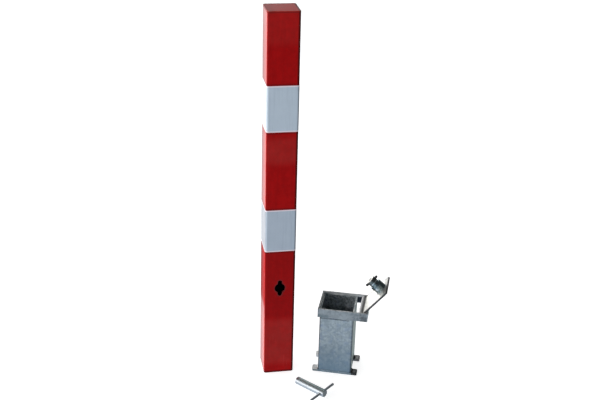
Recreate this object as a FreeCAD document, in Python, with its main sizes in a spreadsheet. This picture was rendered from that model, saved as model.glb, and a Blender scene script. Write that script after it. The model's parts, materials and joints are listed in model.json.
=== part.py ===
import FreeCAD, Part
import math
import os

import Sketcher
from FreeCAD import Placement, Rotation, Vector

# Removable bollard: a square post, the ground socket that it drops into, the hinged plate that
# locks the post or covers the empty socket, and the loose triangular key. Millimetres.
# +Z is up and the floor is z = 0. The origin lies on the socket tube's axis.
# Along X the hinge is on the positive side. The post and the key stand and lie beside the socket.

DIMENSIONS = (
    # Post
    ("post_width", 70.0, "outside of the square post tube"),
    ("post_wall", 3.0, "wall of the post tube"),
    ("post_corner", 5.0, "outside corner radius of the post tube"),
    ("post_length", 870.0, "foot to head, top plate included"),
    ("top_plate_thick", 4.0, "plate that closes the head"),
    ("top_plate_edge", 0.8, "ground edge round the head"),
    ("band_height", 103.0, "each white band"),
    ("band_thick", 0.3, "film thickness"),
    ("band_seam", 0.6, "open butt seam in the film, at the back"),
    ("lower_band_base", 324.0, "foot to the lower band"),
    ("upper_band_base", 610.0, "foot to the upper band"),
    # Lock opening in the post
    ("nose_clearance", 1.0, "round the lock's nose in the round hole"),
    ("slot_side_clearance", 2.0, "each side of the cross pin in the slot"),
    ("slot_end_clearance", 2.0, "beyond each end of the cross pin in the slot"),
    # Ground socket
    ("socket_clearance", 2.0, "each side of the post inside the socket tube"),
    ("socket_wall", 3.0, "wall of the socket tube"),
    ("socket_corner", 5.0, "outside corner radius of the socket tube"),
    ("socket_height", 175.0, "floor to the collar's rim"),
    ("collar_height", 22.0, "height of the collar's flat bars"),
    ("collar_thick", 4.0, "thickness of the collar's flat bars"),
    ("collar_edge", 0.6, "rolled edge of the flat bars"),
    ("lid_sunk", 0.2, "closed plate below the collar's rim"),
    ("anchor_width", 20.0, "width of the anchor bars"),
    ("anchor_thick", 5.0, "thickness of the anchor bars"),
    ("anchor_reach", 14.0, "anchor bar beyond the tube, each side"),
    ("anchor_corner", 3.5, "corner radius of the anchor bars"),
    # Hinge
    ("hinge_pin_diameter", 6.0, "hinge pin"),
    ("hinge_clearance", 0.05, "radial, pin in the knuckle"),
    ("hinge_pin_proud", 0.6, "pin end beyond the collar's face"),
    ("knuckle_diameter", 11.0, "hinge tube on the plate"),
    # Locking plate
    ("lid_thick", 4.0, "locking plate"),
    ("lid_reach", 84.5, "hinge axis to the plate's free edge"),
    ("lid_heel", 2.5, "hinge axis to the plate's hinge edge"),
    ("lid_corner", 2.5, "corner radius at the free edge"),
    ("lid_side_clearance", 0.7, "plate to each long collar bar"),
    ("lid_rest_clearance", 0.3, "closed plate above the tube's rim"),
    ("lid_stop_clearance", 0.3, "open plate to the end bar"),
    ("lid_lean", 51.0, "open plate above the horizontal, degrees"),
    # Lock
    ("lock_reach", 65.0, "hinge axis to the lock's axis"),
    ("barrel_diameter", 28.0, "lock barrel"),
    ("barrel_length", 21.5, "lock barrel"),
    ("barrel_floor", 4.5, "barrel wall that carries the spindle"),
    ("barrel_edge", 1.0, "chamfer round the barrel's end"),
    ("barrel_clearance", 1.0, "barrel end to the post's face when locked"),
    ("neck_diameter", 12.0, "spindle neck"),
    ("neck_clearance", 0.05, "radial, neck in the barrel"),
    ("flange_diameter", 17.0, "spindle flange"),
    ("flange_thick", 3.0, "spindle flange"),
    ("spindle_play", 0.1, "axial play at the flange and behind the nose"),
    ("drive_side", 10.6, "side of the triangular drive"),
    ("drive_length", 10.0, "triangular drive"),
    ("drive_corner", 0.8, "corner radius of the triangular drive"),
    ("nose_diameter", 22.0, "nose sleeve"),
    ("nose_length", 14.9, "nose sleeve"),
    ("nose_edge", 1.0, "chamfer round the nose"),
    ("cross_pin_diameter", 6.0, "cross pin"),
    ("cross_pin_length", 36.0, "cross pin"),
    ("cross_pin_end", 1.6, "rounded end of the cross pin"),
    ("grip_clearance", 3.0, "cross pin to the inside of the post's wall"),
    # Key
    ("key_diameter", 18.0, "key shank"),
    ("key_length", 82.0, "key shank"),
    ("key_edge", 0.9, "chamfer round the shank's ends"),
    ("key_clearance", 0.75, "radial, shank in the barrel"),
    ("key_drive_clearance", 0.2, "triangular socket to the drive, each side"),
    ("key_drive_depth", 14.0, "triangular socket"),
    ("tee_diameter", 6.0, "cross handle"),
    ("tee_length", 86.0, "cross handle"),
    ("tee_end", 1.4, "rounded end of the cross handle"),
    ("tee_offset", 9.0, "cross handle's axis to the shank's end"),
    # Where the loose pieces stand and lie, from the socket's axis
    ("post_east", -142.5, "post axis along X"),
    ("post_north", -28.0, "post axis along Y"),
    ("post_turn", 19.5, "post turned about Z, degrees"),
    ("key_east", -79.0, "triangular end of the key along X"),
    ("key_north", -98.0, "triangular end of the key along Y"),
    ("key_turn", 330.5, "key turned about Z, degrees"),
)


class Size:
    """A size with its present number and the spreadsheet expression that drives it."""

    def __init__(self, value, text):
        self.value = value
        self.text = text

    @staticmethod
    def of(item):
        return item if isinstance(item, Size) else Size(float(item), repr(item))

    def _join(self, other, sign, value):
        return Size(value, f"({self.text} {sign} {other.text})")

    def __add__(self, other):
        other = Size.of(other)
        return self._join(other, "+", self.value + other.value)

    def __sub__(self, other):
        other = Size.of(other)
        return self._join(other, "-", self.value - other.value)

    def __mul__(self, other):
        other = Size.of(other)
        return self._join(other, "*", self.value * other.value)

    def __truediv__(self, other):
        other = Size.of(other)
        return self._join(other, "/", self.value / other.value)

    def __radd__(self, other):
        return Size.of(other) + self

    def __rsub__(self, other):
        return Size.of(other) - self

    def __rmul__(self, other):
        return Size.of(other) * self

    def __neg__(self):
        return Size(-self.value, f"(-1 * {self.text})")


def cosine(angle):
    return Size(math.cos(math.radians(angle.value)), f"cos({angle.text})")


def sine(angle):
    return Size(math.sin(math.radians(angle.value)), f"sin({angle.text})")


def make_sheet(doc):
    """Writes the driving dimensions and returns each of them as a Size, by name."""
    sheet = doc.addObject("Spreadsheet::Sheet", "dims")
    sizes = {}
    for row, (alias, value, note) in enumerate(DIMENSIONS, start=1):
        sheet.set(f"A{row}", alias)
        sheet.set(f"B{row}", str(value))
        sheet.setAlias(f"B{row}", alias)
        sheet.set(f"C{row}", note)
        sizes[alias] = Size(value, f"dims.{alias}")
    doc.recompute()
    return sizes


doc = FreeCAD.newDocument("removable_bollard")
D = make_sheet(doc)
ZERO = Size.of(0)
bodies = []

# Sizes and places that several pieces share
socket_inside = D["post_width"] + 2 * D["socket_clearance"]
socket_width = socket_inside + 2 * D["socket_wall"]
collar_inside = socket_width
collar_width = collar_inside + 2 * D["collar_thick"]
lid_width = collar_inside - 2 * D["lid_side_clearance"]
knuckle_radius = D["knuckle_diameter"] / 2
hinge_z = D["socket_height"] - D["lid_sunk"] - knuckle_radius
socket_rim = hinge_z + knuckle_radius - D["lid_thick"] - D["lid_rest_clearance"]
# The barrel just misses the post's face when the plate is upright
lock_face = D["lid_thick"] - knuckle_radius
hinge_x = D["post_width"] / 2 + D["barrel_clearance"] + D["barrel_length"] + lock_face
# The open plate's back rests on the inner top edge of the end bar
rim_above_hinge = D["socket_height"] - hinge_z
stop_distance = knuckle_radius + D["lid_stop_clearance"]
end_bar_inside = hinge_x + (stop_distance + rim_above_hinge * cosine(D["lid_lean"])) / sine(D["lid_lean"])
collar_left = socket_width / 2 + D["collar_thick"]
collar_right = end_bar_inside + D["collar_thick"]
# The post's foot stands on the anchor bars, so the lock meets the post at this height of the post
lock_height = hinge_z + D["lock_reach"] - D["anchor_thick"]
# Along the lock's axis, from the plate's inner face
spindle_seat = D["barrel_length"] - D["barrel_floor"] - D["spindle_play"]
nose_seat = D["barrel_length"] + D["spindle_play"]
cross_pin_seat = (
    D["barrel_length"] + D["barrel_clearance"] + D["post_wall"]
    + D["grip_clearance"] + D["cross_pin_diameter"] / 2
)
spindle_tip = nose_seat + D["nose_length"]


def new_body(label):
    body = doc.addObject("PartDesign::Body", label)
    body.Label = label
    bodies.append(body)
    return body


def new_sketch(body, name, role, offset=None):
    """Sketch on one of the body's own origin planes, moved along the plane's normal by offset."""
    sketch = body.newObject("Sketcher::SketchObject", f"{body.Label}_{name}")
    origin_plane = next(item for item in body.Origin.OriginFeatures if item.Role == role)
    sketch.AttachmentSupport = [(origin_plane, "")]
    sketch.MapMode = "FlatFace"
    if offset is not None:
        sketch.setExpression("AttachmentOffset.Base.z", offset.text)
    return sketch


def drive(sketch, kind, *items, size):
    """Adds a dimensional constraint whose value follows a Size."""
    index = sketch.addConstraint(Sketcher.Constraint(kind, *items, size.value))
    sketch.setExpression(f"Constraints[{index}]", size.text)


def add_loop(sketch, points):
    """Closed chain of lines through the points; returns the index of its first line."""
    first = sketch.GeometryCount
    count = len(points)
    for index in range(count):
        start, end = points[index], points[(index + 1) % count]
        sketch.addGeometry(Part.LineSegment(Vector(*start, 0), Vector(*end, 0)), False)
    for index in range(count):
        sketch.addConstraint(
            Sketcher.Constraint("Coincident", first + index, 2, first + (index + 1) % count, 1)
        )
    return first


def add_rectangle(sketch, width, height, left=None, bottom=None):
    """Rectangle by its lower left corner, or centred on the sketch's origin."""
    left = -width / 2 if left is None else left
    bottom = -height / 2 if bottom is None else bottom
    x0, y0 = left.value, bottom.value
    x1, y1 = x0 + width.value, y0 + height.value
    first = add_loop(sketch, [(x0, y0), (x1, y0), (x1, y1), (x0, y1)])
    for side in (0, 2):
        sketch.addConstraint(Sketcher.Constraint("Horizontal", first + side))
    for side in (1, 3):
        sketch.addConstraint(Sketcher.Constraint("Vertical", first + side))
    drive(sketch, "DistanceX", first, 1, first, 2, size=width)
    drive(sketch, "DistanceY", first + 1, 1, first + 1, 2, size=height)
    drive(sketch, "DistanceX", -1, 1, first, 1, size=left)
    drive(sketch, "DistanceY", -1, 1, first, 1, size=bottom)


def add_circle(sketch, diameter, x=None, y=None):
    """Circle at x, y, or on the sketch's origin."""
    centre = Vector(x.value if x else 0, y.value if y else 0, 0)
    index = sketch.addGeometry(Part.Circle(centre, Vector(0, 0, 1), diameter.value / 2), False)
    drive(sketch, "Diameter", index, size=diameter)
    if x is None and y is None:
        sketch.addConstraint(Sketcher.Constraint("Coincident", index, 3, -1, 1))
    else:
        drive(sketch, "DistanceX", -1, 1, index, 3, size=x or ZERO)
        drive(sketch, "DistanceY", -1, 1, index, 3, size=y or ZERO)
    return index


def add_upright_slot(sketch, width, length, y):
    """Slot with round ends, upright in the sketch, its middle at height y on the Y axis."""
    radius = width.value / 2
    reach = length.value / 2 - radius
    up = Vector(0, 0, 1)
    arcs = []
    for end, start_angle in ((1, 0.0), (-1, math.pi)):
        circle = Part.Circle(Vector(0, y.value + end * reach, 0), up, radius)
        arcs.append(sketch.addGeometry(Part.ArcOfCircle(circle, start_angle, start_angle + math.pi), False))
    left = sketch.addGeometry(
        Part.LineSegment(Vector(-radius, y.value + reach, 0), Vector(-radius, y.value - reach, 0)), False
    )
    right = sketch.addGeometry(
        Part.LineSegment(Vector(radius, y.value - reach, 0), Vector(radius, y.value + reach, 0)), False
    )
    top, bottom = arcs
    for a, a_end, b, b_end in ((top, 2, left, 1), (left, 2, bottom, 1), (bottom, 2, right, 1), (right, 2, top, 1)):
        sketch.addConstraint(Sketcher.Constraint("Tangent", a, a_end, b, b_end))
    sketch.addConstraint(Sketcher.Constraint("Equal", top, bottom))
    sketch.addConstraint(Sketcher.Constraint("PointOnObject", top, 3, -2))
    sketch.addConstraint(Sketcher.Constraint("PointOnObject", bottom, 3, -2))
    drive(sketch, "Radius", top, size=width / 2)
    drive(sketch, "DistanceY", -1, 1, top, 3, size=y + (length - width) / 2)
    drive(sketch, "DistanceY", -1, 1, bottom, 3, size=y - (length - width) / 2)


def add_triangle(sketch, side):
    """Equal-sided triangle round the sketch's origin, one corner up."""
    corner_reach = side / Size(math.sqrt(3), "sqrt(3)")
    rim = sketch.addGeometry(Part.Circle(Vector(0, 0, 0), Vector(0, 0, 1), corner_reach.value), True)
    sketch.addConstraint(Sketcher.Constraint("Coincident", rim, 3, -1, 1))
    drive(sketch, "Radius", rim, size=corner_reach)
    angles = [math.radians(90 + 120 * step) for step in range(3)]
    first = add_loop(
        sketch, [(corner_reach.value * math.cos(a), corner_reach.value * math.sin(a)) for a in angles]
    )
    for step in range(3):
        sketch.addConstraint(Sketcher.Constraint("PointOnObject", first + step, 1, rim))
    sketch.addConstraint(Sketcher.Constraint("Equal", first, first + 1))
    sketch.addConstraint(Sketcher.Constraint("Equal", first + 1, first + 2))
    sketch.addConstraint(Sketcher.Constraint("PointOnObject", first, 1, -2))


def pad(body, sketch, length, reverse=False, both_ways=False):
    feature = body.newObject("PartDesign::Pad", f"{sketch.Name}_pad")
    feature.Profile = sketch
    feature.setExpression("Length", length.text)
    feature.Reversed = reverse
    feature.Midplane = both_ways
    sketch.Visibility = False
    doc.recompute()
    return feature


def pocket(body, sketch, depth=None, reverse=False, both_ways=False):
    """Cuts the sketch to a depth, or through everything on the chosen side of its plane."""
    feature = body.newObject("PartDesign::Pocket", f"{sketch.Name}_cut")
    feature.Profile = sketch
    if depth is None:
        feature.Type = "ThroughAll"
    else:
        feature.setExpression("Length", depth.text)
    feature.Reversed = reverse
    feature.Midplane = both_ways
    sketch.Visibility = False
    doc.recompute()
    return feature


def dress(body, kind, name, feature, size, picks):
    """Fillet or chamfer on the edges of a feature that picks chooses."""
    edges = [f"Edge{number}" for number, edge in enumerate(feature.Shape.Edges, start=1) if picks(edge)]
    dressed = body.newObject(f"PartDesign::{kind}", f"{body.Label}_{name}")
    dressed.Base = (feature, edges)
    dressed.setExpression("Radius" if kind == "Fillet" else "Size", size.text)
    doc.recompute()
    return dressed


def is_straight_along(edge, axis):
    if edge.Curve.TypeId != "Part::GeomLine":
        return False
    return abs(edge.tangentAt(edge.FirstParameter).dot(axis)) > 0.999


def upright_edge_at(half_width):
    """Chooses the four upright edges of a square that stand half_width from both middle planes."""

    def picks(edge):
        middle = edge.CenterOfMass
        on_corner = abs(abs(middle.x) - half_width) < 0.01 and abs(abs(middle.y) - half_width) < 0.01
        return on_corner and is_straight_along(edge, Vector(0, 0, 1))

    return picks


def round_edge_at(axis, height, radius):
    """Chooses the full circle of the given radius that lies at a height along an axis."""

    def picks(edge):
        if edge.Curve.TypeId != "Part::GeomCircle" or abs(edge.Curve.Radius - radius.value) > 0.01:
            return False
        return abs(edge.CenterOfMass.dot(axis) - height.value) < 0.01

    return picks


def place(body, x=ZERO, y=ZERO, z=ZERO, axis=Vector(0, 0, 1), angle=None):
    """Puts a body in the assembly, its place and turn bound to the spreadsheet."""
    turn = Rotation(axis, angle.value) if angle else Rotation()
    body.Placement = Placement(Vector(x.value, y.value, z.value), turn)
    for name, size in (("x", x), ("y", y), ("z", z)):
        body.setExpression(f"Placement.Base.{name}", size.text)
    if angle:
        body.setExpression("Placement.Rotation.Angle", angle.text)


def place_on_post(body, z=ZERO):
    place(body, D["post_east"], D["post_north"], z, angle=D["post_turn"])


def place_on_lid(body, along=ZERO, above=ZERO):
    """Puts a body on the leaning plate: along it from the hinge axis, and above it square to it."""
    lean = D["lid_lean"]
    x = hinge_x + along * cosine(lean) - above * sine(lean)
    z = hinge_z + along * sine(lean) + above * cosine(lean)
    place(body, x, ZERO, z, axis=Vector(0, -1, 0), angle=lean)


def place_on_lock(body, seat=ZERO):
    place_on_lid(body, D["lock_reach"], lock_face + seat)


def place_key(body, along=ZERO):
    turn = D["key_turn"]
    x = D["key_east"] + along * cosine(turn)
    y = D["key_north"] + along * sine(turn)
    place(body, x, y, D["key_diameter"] / 2, angle=turn)


def square_tube(label, width, wall, corner, length):
    """Square hollow section standing on the XY plane, with rounded corners inside and out."""
    body = new_body(label)
    sketch = new_sketch(body, "section", "XY_Plane")
    inside = width - 2 * wall
    add_rectangle(sketch, width, width)
    add_rectangle(sketch, inside, inside)
    tube = pad(body, sketch, length)
    rounded = dress(body, "Fillet", "corners", tube, corner, upright_edge_at(width.value / 2))
    dress(body, "Fillet", "inner_corners", rounded, corner - wall, upright_edge_at(inside.value / 2))
    return body


def post_tube():
    body = square_tube(
        "post_tube", D["post_width"], D["post_wall"], D["post_corner"],
        D["post_length"] - D["top_plate_thick"],
    )
    hole = new_sketch(body, "nose_hole", "XZ_Plane")
    add_circle(hole, D["nose_diameter"] + 2 * D["nose_clearance"], ZERO, lock_height)
    pocket(body, hole, reverse=True)
    slot = new_sketch(body, "pin_slot", "XZ_Plane")
    add_upright_slot(
        slot,
        D["cross_pin_diameter"] + 2 * D["slot_side_clearance"],
        D["cross_pin_length"] + 2 * D["slot_end_clearance"],
        lock_height,
    )
    pocket(body, slot, reverse=True)
    place_on_post(body)


def post_top_plate():
    body = new_body("post_top_plate")
    sketch = new_sketch(body, "outline", "XY_Plane")
    add_rectangle(sketch, D["post_width"], D["post_width"])
    plate = pad(body, sketch, D["top_plate_thick"])
    rounded = dress(
        body, "Fillet", "corners", plate, D["post_corner"], upright_edge_at(D["post_width"].value / 2)
    )
    top = D["top_plate_thick"].value
    dress(
        body, "Fillet", "ground_edge", rounded, D["top_plate_edge"],
        lambda edge: abs(edge.BoundBox.ZMin - top) < 0.01 and abs(edge.BoundBox.ZMax - top) < 0.01,
    )
    place_on_post(body, D["post_length"] - D["top_plate_thick"])


def white_band(label, base):
    """Film wrapped once round the tube, its ends meeting in an open seam at the back."""
    width = D["post_width"] + 2 * D["band_thick"]
    body = square_tube(
        label, width, D["band_thick"], D["post_corner"] + D["band_thick"], D["band_height"]
    )
    seam = new_sketch(body, "seam", "XZ_Plane")
    add_rectangle(seam, D["band_seam"], D["band_height"], bottom=ZERO)
    pocket(body, seam)
    place_on_post(body, base)


def flat_bar(label, plane, length, height, thickness, left, bottom, hole=None):
    """Flat bar with rolled edges, its broad face on the named plane's middle."""
    body = new_body(label)
    sketch = new_sketch(body, "face", plane)
    add_rectangle(sketch, length, height, left, bottom)
    bar = pad(body, sketch, thickness, both_ways=True)
    run = Vector(1, 0, 0) if plane == "XZ_Plane" else Vector(0, 1, 0)
    if hole:
        drilled = new_sketch(body, "pin_hole", plane)
        add_circle(drilled, hole)
        bar = pocket(body, drilled, both_ways=True)
    dress(body, "Fillet", "rolled_edges", bar, D["collar_edge"], lambda edge: is_straight_along(edge, run))
    return body


def collar():
    """Frame of flat bars welded round the tube's head and out beyond the hinge."""
    half = collar_inside / 2 + D["collar_thick"] / 2
    for label, side in (("collar_front_bar", -1), ("collar_back_bar", 1)):
        body = flat_bar(
            label, "XZ_Plane", collar_left + collar_right, D["collar_height"], D["collar_thick"],
            -hinge_x - collar_left, rim_above_hinge - D["collar_height"], D["hinge_pin_diameter"],
        )
        place(body, hinge_x, side * half, hinge_z)
    for label, x in (
        ("collar_left_bar", -(socket_width + D["collar_thick"]) / 2),
        ("collar_end_bar", end_bar_inside + D["collar_thick"] / 2),
    ):
        body = flat_bar(
            label, "YZ_Plane", collar_inside, D["collar_height"], D["collar_thick"],
            -collar_inside / 2, -D["collar_height"],
        )
        place(body, x, ZERO, D["socket_height"])


def anchor_bars():
    """Two flat bars welded across the foot of the tube, their ends standing out at the sides."""
    length = socket_width + 2 * D["anchor_reach"]
    offset = (socket_width - D["anchor_width"]) / 2
    for label, side in (("anchor_bar_front", -1), ("anchor_bar_back", 1)):
        body = new_body(label)
        sketch = new_sketch(body, "outline", "XY_Plane")
        add_rectangle(sketch, length, D["anchor_width"])
        bar = pad(body, sketch, D["anchor_thick"])
        dress(
            body, "Fillet", "corners", bar, D["anchor_corner"],
            lambda edge: is_straight_along(edge, Vector(0, 0, 1)),
        )
        place(body, ZERO, side * offset, ZERO)


def round_bar(label, diameter, length, end_kind, end_size):
    """Round bar along Y, centred on the origin, with both ends dressed alike."""
    body = new_body(label)
    sketch = new_sketch(body, "section", "XZ_Plane")
    add_circle(sketch, diameter)
    bar = pad(body, sketch, length, both_ways=True)
    half = length.value / 2
    dress(
        body, end_kind, "ends", bar, end_size,
        lambda edge: edge.Curve.TypeId == "Part::GeomCircle" and abs(abs(edge.CenterOfMass.y) - half) < 0.01,
    )
    return body


def hinge_pin():
    body = round_bar(
        "hinge_pin", D["hinge_pin_diameter"], collar_width + 2 * D["hinge_pin_proud"],
        "Chamfer", D["hinge_pin_proud"],
    )
    place(body, hinge_x, ZERO, hinge_z)


def lid_knuckle():
    body = new_body("lid_knuckle")
    sketch = new_sketch(body, "section", "XZ_Plane")
    add_circle(sketch, D["knuckle_diameter"])
    add_circle(sketch, D["hinge_pin_diameter"] + 2 * D["hinge_clearance"])
    pad(body, sketch, lid_width, both_ways=True)
    place_on_lid(body)


def lid_plate():
    """Flat plate whose back runs on from the knuckle's side, coped to seat on the knuckle."""
    body = new_body("lid_plate")
    sketch = new_sketch(body, "edge_view", "XZ_Plane")
    add_rectangle(
        sketch, D["lid_reach"] - D["lid_heel"], D["lid_thick"], D["lid_heel"], -knuckle_radius
    )
    pad(body, sketch, lid_width, both_ways=True)
    cope = new_sketch(body, "cope", "XZ_Plane")
    add_circle(cope, D["knuckle_diameter"])
    pocket(body, cope, both_ways=True)
    key_hole = new_sketch(body, "key_hole", "XY_Plane")
    add_circle(key_hole, D["key_diameter"] + 2 * D["key_clearance"], D["lock_reach"], ZERO)
    holed = pocket(body, key_hole, both_ways=True)
    free_edge, half_width = D["lid_reach"].value, lid_width.value / 2
    dress(
        body, "Fillet", "free_corners", holed, D["lid_corner"],
        lambda edge: abs(edge.CenterOfMass.x - free_edge) < 0.01
        and abs(abs(edge.CenterOfMass.y) - half_width) < 0.01,
    )
    place_on_lid(body)


def lock_barrel():
    """Sleeve on the plate's inner face: the key's bore, then the wall that carries the spindle."""
    body = new_body("lock_barrel")
    sketch = new_sketch(body, "outside", "XY_Plane")
    add_circle(sketch, D["barrel_diameter"])
    barrel = pad(body, sketch, D["barrel_length"])
    barrel = dress(
        body, "Chamfer", "rim", barrel, D["barrel_edge"],
        round_edge_at(Vector(0, 0, 1), D["barrel_length"], D["barrel_diameter"] / 2),
    )
    bore = new_sketch(body, "key_bore", "XY_Plane")
    add_circle(bore, D["key_diameter"] + 2 * D["key_clearance"])
    pocket(body, bore, D["barrel_length"] - D["barrel_floor"], reverse=True)
    bearing = new_sketch(body, "bearing", "XY_Plane")
    add_circle(bearing, D["neck_diameter"] + 2 * D["neck_clearance"])
    pocket(body, bearing, reverse=True)
    place_on_lock(body)


def lock_spindle():
    """Turned spindle: triangular drive below the flange, neck above it, drilled for the cross pin."""
    body = new_body("lock_spindle")
    flange = new_sketch(body, "flange", "XY_Plane")
    add_circle(flange, D["flange_diameter"])
    pad(body, flange, D["flange_thick"], reverse=True)
    neck = new_sketch(body, "neck", "XY_Plane")
    add_circle(neck, D["neck_diameter"])
    pad(body, neck, spindle_tip - spindle_seat)
    drive_face = new_sketch(body, "drive", "XY_Plane", -D["flange_thick"])
    add_triangle(drive_face, D["drive_side"])
    driven = pad(body, drive_face, D["drive_length"], reverse=True)
    reach = -(D["flange_thick"] + D["drive_length"] / 2).value
    dress(
        body, "Fillet", "drive_corners", driven, D["drive_corner"],
        lambda edge: is_straight_along(edge, Vector(0, 0, 1)) and abs(edge.CenterOfMass.z - reach) < 0.01,
    )
    cross = new_sketch(body, "pin_hole", "YZ_Plane")
    add_circle(cross, D["cross_pin_diameter"], ZERO, cross_pin_seat - spindle_seat)
    pocket(body, cross, both_ways=True)
    place_on_lock(body, spindle_seat)


def lock_nose():
    """Sleeve pressed on the neck, drilled through for the cross pin."""
    body = new_body("lock_nose")
    sketch = new_sketch(body, "section", "XY_Plane")
    add_circle(sketch, D["nose_diameter"])
    add_circle(sketch, D["neck_diameter"])
    sleeve = pad(body, sketch, D["nose_length"])
    dress(
        body, "Chamfer", "lead", sleeve, D["nose_edge"],
        round_edge_at(Vector(0, 0, 1), D["nose_length"], D["nose_diameter"] / 2),
    )
    cross = new_sketch(body, "pin_hole", "YZ_Plane")
    add_circle(cross, D["cross_pin_diameter"], ZERO, cross_pin_seat - nose_seat)
    pocket(body, cross, both_ways=True)
    place_on_lock(body, nose_seat)


def lock_cross_pin():
    """Cross pin along the plate, the way that it enters the post's slot."""
    body = new_body("lock_cross_pin")
    sketch = new_sketch(body, "section", "YZ_Plane")
    add_circle(sketch, D["cross_pin_diameter"])
    pin = pad(body, sketch, D["cross_pin_length"], both_ways=True)
    half = D["cross_pin_length"].value / 2
    dress(
        body, "Fillet", "ends", pin, D["cross_pin_end"],
        lambda edge: edge.Curve.TypeId == "Part::GeomCircle" and abs(abs(edge.CenterOfMass.x) - half) < 0.01,
    )
    place_on_lock(body, cross_pin_seat)


def key_shank():
    """Round shank along X: triangular socket in the near end, cross handle's hole by the far end."""
    body = new_body("key_shank")
    sketch = new_sketch(body, "section", "YZ_Plane")
    add_circle(sketch, D["key_diameter"])
    shank = pad(body, sketch, D["key_length"])
    shank = dress(
        body, "Chamfer", "ends", shank, D["key_edge"], lambda edge: edge.Curve.TypeId == "Part::GeomCircle"
    )
    socket = new_sketch(body, "drive_socket", "YZ_Plane")
    add_triangle(socket, D["drive_side"] + 2 * D["key_drive_clearance"])
    pocket(body, socket, D["key_drive_depth"], reverse=True)
    cross = new_sketch(body, "tee_hole", "XZ_Plane")
    add_circle(cross, D["tee_diameter"], D["key_length"] - D["tee_offset"], ZERO)
    pocket(body, cross, both_ways=True)
    place_key(body)


def key_tee_bar():
    body = round_bar("key_tee_bar", D["tee_diameter"], D["tee_length"], "Fillet", D["tee_end"])
    place_key(body, D["key_length"] - D["tee_offset"])


def build():
    post_tube()
    post_top_plate()
    white_band("white_band_lower", D["lower_band_base"])
    white_band("white_band_upper", D["upper_band_base"])
    square_tube_socket = square_tube(
        "socket_tube", socket_width, D["socket_wall"], D["socket_corner"], socket_rim - D["anchor_thick"]
    )
    place(square_tube_socket, ZERO, ZERO, D["anchor_thick"])
    collar()
    anchor_bars()
    hinge_pin()
    lid_knuckle()
    lid_plate()
    lock_barrel()
    lock_spindle()
    lock_nose()
    lock_cross_pin()
    key_shank()
    key_tee_bar()
    doc.recompute()


def export():
    """Stops on any feature in error, then writes one STEP file for each body."""
    for item in doc.Objects:
        if "Invalid" in item.State or "Error" in item.State:
            raise RuntimeError(f"{item.Label}: {item.State}")
    os.makedirs("parts", exist_ok=True)
    for body in bodies:
        if not body.Shape.isValid() or len(body.Shape.Solids) != 1:
            raise RuntimeError(f"{body.Label}: {len(body.Shape.Solids)} solids")
        body.Shape.exportStep(f"parts/{body.Label}.step")


build()
export()
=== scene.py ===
"""Looks of a removable bollard: painted post, ground socket with hinged locking plate, and key."""
import json
import logging
import math
import random
from dataclasses import dataclass
from enum import Enum
from typing import Any, Callable, Iterable

import bmesh
import bpy
from mathutils import Euler, Matrix, Vector


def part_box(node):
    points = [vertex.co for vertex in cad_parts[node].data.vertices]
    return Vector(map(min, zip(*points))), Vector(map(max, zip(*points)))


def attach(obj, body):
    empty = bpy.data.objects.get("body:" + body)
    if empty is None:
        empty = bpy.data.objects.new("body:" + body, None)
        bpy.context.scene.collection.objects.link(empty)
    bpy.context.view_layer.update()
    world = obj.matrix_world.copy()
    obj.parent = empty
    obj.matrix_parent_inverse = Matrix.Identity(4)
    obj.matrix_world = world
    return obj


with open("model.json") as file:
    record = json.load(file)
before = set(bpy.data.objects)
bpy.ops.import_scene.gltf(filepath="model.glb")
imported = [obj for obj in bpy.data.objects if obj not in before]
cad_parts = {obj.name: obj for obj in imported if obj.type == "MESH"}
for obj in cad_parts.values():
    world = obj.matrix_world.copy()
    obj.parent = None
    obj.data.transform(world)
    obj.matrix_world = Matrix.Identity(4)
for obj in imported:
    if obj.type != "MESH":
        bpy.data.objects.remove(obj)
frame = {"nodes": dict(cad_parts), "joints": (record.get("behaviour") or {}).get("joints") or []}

LOG = logging.getLogger("bollard")
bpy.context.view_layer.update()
JOINTS = {joint["name"]: joint for joint in frame["joints"]}

Colour = tuple[float, float, float]
Triple = tuple[float, float, float]
Limits = tuple[float, float]
Run = tuple[Triple, Triple]


class Body(Enum):
    """The moving groups that new pieces ride on."""

    GROUND = "ground_set"
    PLATE = "locking_plate"


class Slot(Enum):
    """Two of the record's finish names. Nothing in this script uses them."""

    GALVANISED = "galvanised_steel"
    ZINC = "bright_zinc"


class BeadEnd(Enum):
    """How a weld bead runs out."""

    TAPERED = "tapered"
    BLUNT = "blunt"


# Shader writing


def operator(operation: str, reflected: bool = False) -> Callable[..., "Term"]:
    """Makes an operator of Term from a Math node's operation.

    Args:
        operation: Blender's name of it.
        reflected: Whether the other value comes first.

    Returns:
        The method, which adds the node and returns its result.
    """

    def method(self: "Term", *others: "Term | float") -> "Term":
        """Adds the Math node over this value and the others."""
        values = (*others, self) if reflected else (self, *others)
        return self.recipe.node("Math", {"operation": operation}, dict(enumerate(values)))

    return method


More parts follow.
